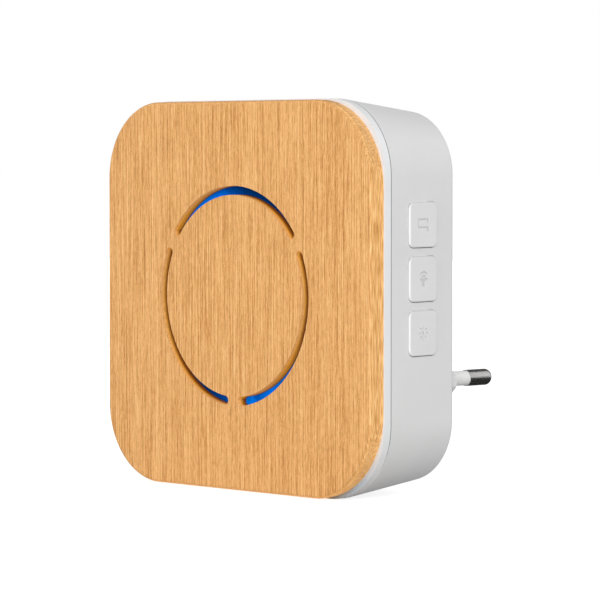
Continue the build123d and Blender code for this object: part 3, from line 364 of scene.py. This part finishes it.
def glowing_guide():
    """Blue light guide that glows with painted light and shade by the angle round the face, its upper
    half brighter at the inner edge and darker at the outer.
    """
    band_half = 1.0 * MM
    upper_start = 10 * MM
    jitter = 0.004
    graph = Look("light_guide", Roughness=0.8, Specular_IOR_Level=0.0, Emission_Strength=0.9)
    way = graph.from_slot_axis()
    rightwards, _, upwards = graph.split(way)
    turn = graph.span(graph.math("ARCTAN2", upwards, rightwards), -pi, pi)
    fine = graph.noise(1500)
    turn = graph.math("ADD", turn, graph.span(fine, 0.3, 0.7, -jitter, jitter))
    glow = graph.painted(turn, [((angle + 180) / 360, colour) for angle, colour in painted_guide_glow_by_angle])
    radius = graph.vector("LENGTH", way)
    # Painted light and shade across the band in the upper half: brighter at the inner edge, darker at the
    # outer
    across = graph.span(radius, slot_radius - band_half, slot_radius + band_half, 1.35, 0.6)
    glow = graph.tinted(graph.span(upwards, 0.0, upper_start), glow, graph.tone(across))
    graph.shade(Base_Color=graph.mix(0.5, glow, (0.0, 0.01, 0.02)), Emission_Color=glow)
    graph.bump(fine, 0.01 * MM)
    return graph.material


def shaded_white(name, patch, first, second, front, top):
    """White plastic with painted light and shade: display colours of its own to the front and to the top,
    and a grey seam of painted shade.
    """
    # Heights above the case's lower edge from which and to which painted shade darkens the front and the
    # seam's painted shade fades
    shade_heights = (19 * MM, 3 * MM)
    fade_heights = (15 * MM, 7 * MM)
    graph = Look(name, Specular_IOR_Level=0.15)
    _, depth, height = graph.split(graph.place)
    _, to_rear, to_top = graph.split(graph.normal)
    up = graph.math("SUBTRACT", height, case_low.z)
    # Painted shade that darkens the front towards the lower edge
    low_shade = graph.ramp(graph.span(up, *shade_heights), [
        (0.0, (1.0, 1.0, 1.0)), (0.5, (0.96, 0.99, 1.0)), (0.76, (0.85, 0.92, 0.98)),
        (0.9, (0.68, 0.81, 0.92)), (1.0, (0.64, 0.79, 0.92)),
    ])
    white = graph.two_tone(graph.patches(patch), linear(*first), linear(*second))
    # Front and top colours are painted light and shade by the way the surface faces
    shaded_front = graph.tinted(1.0, linear(*front), low_shade)
    white = graph.mix(graph.span(to_rear, -0.6, -0.95), white, shaded_front)
    white = graph.mix(graph.span(to_top, 0.5, 1.0), white, linear(*top))
    # Painted shade in the seam between bezel and shell, fading to white near the lower edge
    in_seam = graph.math("COMPARE", depth, seam_y, seam_half + seam_spare)
    seam = graph.mix(graph.span(up, *fade_heights), linear(172, 172, 174), linear(252, 252, 252))
    graph.shade(Base_Color=graph.mix(in_seam, white, seam))
    graph.fine_grain(0.16, (0.6, 0.68), 0.004)
    return graph.material


def circuit_board(name, first, second, track):
    """Lacquered board with straight tracks under the lacquer and tinned pads."""
    track_width = 0.16 * MM
    track_share = 0.75
    pads_per_metre = 260
    pad_radius = 0.16
    graph = Look(name, Specular_IOR_Level=0.5)
    across, _, upwards = graph.split(graph.place)
    flat = graph.add("CombineXYZ", X=across, Y=upwards).outputs[0]
    tracks = 0.0
    for width, height, shift in ((10.2, 2.3, 0.37), (3.4, 8.6, 0.61)):
        bricks = graph.add(
            "TexBrick", Vector=flat,
            Scale=1.0, Mortar_Size=track_width, Brick_Width=width * MM, Row_Height=height * MM,
        )
        bricks.offset = shift
        tracks = graph.math("MAXIMUM", bricks.outputs["Fac"], tracks)
    patches = graph.patches(6)
    lacquer = graph.two_tone(patches, linear(*first), linear(*second))
    lacquer = graph.mix(graph.times(tracks, track_share), lacquer, linear(*track))
    pad_places = graph.scaled((pads_per_metre, pads_per_metre, 0), flat)
    cells = graph.add("TexVoronoi", Vector=pad_places, Scale=1.0)
    pads = graph.math("LESS_THAN", cells.outputs["Distance"], pad_radius)
    graph.shade(Base_Color=graph.mix(pads, lacquer, linear(196, 196, 192)))
    graph.shade(Roughness=graph.span(patches, 0.3, 0.7, 0.3, 0.42))
    graph.bump(graph.math("MAXIMUM", tracks, pads), 0.03 * MM, 0.5)
    return graph.material


def wound_copper():
    """Enamelled wire in close turns along the coil's axis, with painted shade between the turns."""
    wire = 0.25 * MM
    graph = Look("coil_copper", Metallic=1.0)
    turns = graph.math("SINE", graph.times(graph.split(graph.place)[1], 2 * pi / wire))
    patches = graph.noise(1 / (1.0 * MM))
    lit = graph.two_tone(patches, linear(184, 98, 50), linear(208, 124, 72))
    # Painted shade between the turns
    graph.shade(Base_Color=graph.mix(graph.span(turns, -1.0, 0.2, 0.6, 0.0), lit, linear(84, 36, 16)))
    graph.shade(Roughness=graph.span(patches, 0.3, 0.7, 0.26, 0.4))
    graph.bump(turns, 0.05 * MM)
    return graph.material


def drawn_metal():
    """Bright plated pin with fine draw lines along its length."""
    graph = Look("plug_pin", Metallic=1.0)
    lines = graph.noise((5200, 130, 5200), 2.0, 0.6)
    graph.shade(Base_Color=graph.painted(lines, [
        (0.34, (160, 159, 158)), (0.5, (186, 185, 184)), (0.66, (208, 207, 206)),
    ]))
    graph.shade(Roughness=graph.span(lines, 0.3, 0.7, 0.2, 0.3))
    graph.bump(lines, 0.012 * MM)
    return graph.material


def key_white():
    """White key with painted shade on its top edge and in its pressed icon, and painted light as a slight
    emission in the gap above it.
    """
    # Distances out from the side wall, and along and up from the key's middle
    icon_floor = 0.32 * MM
    key_face = 0.46 * MM
    wall_skin = 0.1 * MM
    icon_half = 3.4 * MM
    gap_start = 5.1 * MM
    gap_painted_light = 0.45
    graph = Look("keys", Specular_IOR_Level=0.3)
    white = graph.two_tone(graph.patches(12), linear(235, 235, 235), linear(238, 238, 238))
    to_top = graph.split(graph.normal)[2]
    # Painted shade on the top edge
    white = graph.mix(graph.span(to_top, 0.1, 0.6), white, linear(206, 206, 206))
    offset = graph.vector("SUBTRACT", graph.place, (case_x + key_wall, key_y, 0.0))
    out = graph.vector("DOT_PRODUCT", offset, (cos(wall_tilt), sin(wall_tilt), 0.0))
    along = graph.vector("DOT_PRODUCT", offset, (-sin(wall_tilt), cos(wall_tilt), 0.0))
    central = graph.math("LESS_THAN", graph.math("ABSOLUTE", along), icon_half)
    icon = graph.times(central, graph.span(out, icon_floor, key_face, 1.0, 0.0))
    height = graph.math("SUBTRACT", graph.split(graph.place)[2], key_z - key_pitch / 2)
    from_middle = graph.math("SUBTRACT", graph.math("FLOORED_MODULO", height, key_pitch), key_pitch / 2)
    above = graph.math("GREATER_THAN", from_middle, gap_start)
    in_top_gap = graph.times(above, graph.math("LESS_THAN", out, wall_skin))
    # Painted shade in the icon's recess, and painted light in the gap above the key
    graph.shade(Base_Color=graph.mix(icon, white, linear(218, 218, 219)))
    graph.shade(Emission_Color=white, Emission_Strength=graph.times(in_top_gap, gap_painted_light))
    graph.fine_grain(0.14, (0.44, 0.52), 0.003)
    return graph.material


materials = {
    "oiled_wood": oiled_wood(),
    "light_guide": glowing_guide(),
    "shell": shaded_white(
        "shell", 22, (231, 231, 231), (234, 234, 234), front=(228, 228, 228), top=(221, 221, 221),
    ),
    "bezel": shaded_white(
        "bezel", 18, (236, 237, 238), (239, 240, 241), front=(222, 228, 235), top=(226, 227, 228),
    ),
    "keys": key_white(),
    "plug_pin": drawn_metal(),
    "coil_copper": wound_copper(),
    "white_board": circuit_board("white_board", (232, 233, 228), (240, 240, 236), (218, 220, 214)),
    "green_board": circuit_board("green_board", (18, 84, 52), (24, 98, 60), (48, 136, 88)),
}

# Plain materials: two display colours, patch and grain in mm, range of roughness, metallic, relief in mm
plain_materials = {
    "white_plastic": ((224, 224, 220), (232, 232, 228), 6, 0.14, (0.4, 0.5), 0.0, 0.004),
    "pin_sleeve": ((238, 238, 237), (243, 243, 242), 6, 0.12, (0.4, 0.5), 0.0, 0.004),
    "adhesive": ((236, 232, 220), (244, 240, 230), 7, 0.3, (0.7, 0.85), 0.0, 0.02),
    "lamp": ((238, 214, 120), (246, 228, 150), 1.5, 0.1, (0.2, 0.3), 0.0, 0.002),
    "screw_steel": ((150, 150, 152), (182, 182, 184), 1.2, 0.08, (0.26, 0.42), 1.0, 0.004),
    "black_plastic": ((26, 26, 27), (36, 36, 37), 3, 0.12, (0.5, 0.62), 0.0, 0.006),
    "gold_pin": ((214, 168, 84), (230, 188, 104), 1.0, 0.06, (0.18, 0.28), 1.0, 0.002),
    "contact_strip": ((196, 160, 96), (214, 180, 116), 3, 0.12, (0.24, 0.36), 1.0, 0.003),
    "basket_metal": ((168, 170, 172), (190, 192, 194), 5, 0.2, (0.34, 0.5), 1.0, 0.006),
    "pole_steel": ((150, 150, 150), (176, 176, 175), 4, 0.15, (0.3, 0.45), 1.0, 0.004),
    "ferrite": ((44, 44, 46), (62, 62, 64), 2, 0.15, (0.6, 0.75), 0.0, 0.02),
    "cone_film": ((34, 34, 36), (50, 50, 53), 3, 0.25, (0.55, 0.7), 0.0, 0.02),
    "soft_rubber": ((28, 28, 29), (38, 38, 39), 3, 0.2, (0.65, 0.8), 0.0, 0.01),
    "wire_red": ((168, 26, 22), (192, 40, 32), 3, 0.15, (0.4, 0.5), 0.0, 0.004),
    "wire_blue": ((24, 60, 150), (34, 78, 176), 3, 0.15, (0.4, 0.5), 0.0, 0.004),
    "capacitor_sleeve": ((22, 26, 44), (32, 38, 60), 3, 0.15, (0.3, 0.4), 0.0, 0.004),
    "yellow_film": ((218, 178, 40), (230, 194, 62), 3, 0.15, (0.4, 0.5), 0.0, 0.005),
    "resistor_body": ((66, 118, 92), (84, 138, 110), 2, 0.15, (0.5, 0.6), 0.0, 0.01),
    "crystal_can": ((190, 190, 192), (212, 212, 214), 2, 0.08, (0.2, 0.32), 1.0, 0.002),
}

for name, (first, second, *rest) in plain_materials.items():
    materials[name] = surface(name, linear(*first), linear(*second), *rest)

# Pieces with materials of their own, which carry painted light and shade, apart from others with the same
# material slot
own_material = {
    "front_bezel": "bezel",
    "rear_shell": "shell",
    "melody_button": "keys",
    "volume_button": "keys",
    "light_button": "keys",
}

for row in frame["record"]["subparts"]:
    node = nodes[row["node"]]
    chosen = own_material.get(node.name, row["material_slot"])
    for slot in node.material_slots:
        slot.link = "OBJECT"
        slot.material = materials[chosen]


def floor_white(shown_white, lit_share):
    """White to the camera and in reflections, with a share of it lit so that shadows show."""
    graph = Look("floor_white", Base_Color=(0.55, 0.55, 0.55), Roughness=1.0, Specular_IOR_Level=0.0)
    glow = graph.add("Emission", Strength=shown_white)
    lit = graph.add("BsdfDiffuse", Color=(lit_share, lit_share, lit_share))
    both = graph.add("AddShader")
    graph.fill(both.inputs, (glow.outputs[0], lit.outputs[0]))
    choice = graph.either(graph.seen_or_reflected(), graph.shader.outputs[0], both.outputs[0])
    graph.join(choice, graph.output.inputs["Surface"])
    return graph.material


def placed(name, data):
    """New object of the scene."""
    piece = bpy.data.objects.new(name, data)
    bpy.context.scene.collection.objects.link(piece)
    return piece


def plate(name, corners, material):
    """Flat piece between corners."""
    mesh = bpy.data.meshes.new(name)
    mesh.from_pydata(corners, [], [tuple(range(len(corners)))])
    mesh.materials.append(material)
    return placed(name, mesh)


def level(left, right, near, far, height):
    """Corners of a level rectangle."""
    return [(left, near, height), (right, near, height), (right, far, height), (left, far, height)]


def upright(start, end, low, high):
    """Corners of an upright rectangle over the line from start to end."""
    return [(*start, low), (*end, low), (*end, high), (*start, high)]


# Floor that shows white but keeps the shadow
floor_half = 12.0
floor_corners = level(-floor_half, floor_half, -floor_half, floor_half, floor_z)
floor = plate("floor", floor_corners, floor_white(shown_white=0.84, lit_share=0.45))

# World: even light on the object, white to the camera and in reflections
world = bpy.data.worlds.new("studio")
bpy.context.scene.world = world
studio = Graph(world)
ambient = studio.add("Background", Color=(1, 1, 1), Strength=0.50)
backdrop = studio.add("Background", Color=(1, 1, 1), Strength=1.0)
sky = studio.either(studio.seen_or_reflected(), ambient.outputs[0], backdrop.outputs[0])
studio.add("OutputWorld", Surface=sky)


def aim(piece, target, azimuth, elevation, distance):
    """Puts a lamp or camera round and above a target, by angles in degrees, and turns it there."""
    turn = radians(azimuth)
    rise = radians(elevation)
    away = Vector((sin(turn) * cos(rise), -cos(turn) * cos(rise), sin(rise)))
    piece.location = target + away * distance
    piece.rotation_mode = "QUATERNION"
    piece.rotation_quaternion = away.to_track_quat("Z", "Y")


# Square soft lamps: azimuth and elevation in degrees, distance and size in metres, power in watts
lamps = {
    "key_lamp": (50, 19, 1.6, 0.7, 13.4),
    "front_lamp": (10, 14, 1.6, 0.7, 6.0),
    "left_lamp": (-75, 6, 1.8, 1.0, 4.0),
    "rear_lamp": (213, 5, 1.8, 1.2, 10.0),
}
centre = Vector((case_x, front_y / 2, case_z))

for name, (azimuth, elevation, distance, size, power) in lamps.items():
    light = bpy.data.lights.new(name, "AREA")
    light.shape = "SQUARE"
    light.size = size
    light.energy = power
    lamp = placed(name, light)
    lamp.visible_camera = False
    aim(lamp, centre, azimuth, elevation, distance)


def reflected_card(name, corners, shade):
    """Dark card that only metal and gloss show."""
    dark = (shade, shade, shade)
    lighter = (1.1 * shade, 1.1 * shade, 1.1 * shade)
    material = surface(
        name, dark, lighter, patch=20, grain=2, roughness=(0.9, 1.0), metallic=0.0, relief=0.01,
    )
    card = plate(name, corners, material)
    card.visible_camera = False
    card.visible_diffuse = False
    card.visible_shadow = False
    card.visible_transmission = False


# Cards behind the object: one on the floor, one at its right end and a high one further back
card_half = 0.3
card_near = 0.02
card_far = 0.36
card_z = floor_z + 0.2 * MM
side_top = 0.045
back_start = (-1.2, 0.35)
back_end = (0.1, 0.95)
back_top = 1.1
low_card_shade = 0.024
back_card_shade = 0.06
floor_card = level(-card_half, card_half, card_near, card_far, card_z)
back_card = upright(back_start, back_end, floor_z, back_top)
side_card = upright((card_half, card_near), (card_half, card_far), card_z, side_top)
reflected_card("floor_card", floor_card, low_card_shade)
reflected_card("back_card", back_card, back_card_shade)
reflected_card("side_card", side_card, low_card_shade)

# Camera at the photograph's viewing angle, with its focal length in the photo's pixels
photo_width = 600
focal_length = 3400
sensor_width = 36.0
camera_data = bpy.data.cameras.new("camera")
camera_data.sensor_width = sensor_width
camera_data.lens = sensor_width * focal_length / photo_width
camera = placed("camera", camera_data)
camera_target = Vector((1.17 * MM, front_y, 20.25 * MM))
aim(camera, camera_target, azimuth=47.02, elevation=2.39, distance=0.80648)
bpy.context.scene.camera = camera
bpy.context.scene.view_settings.view_transform = "Standard"
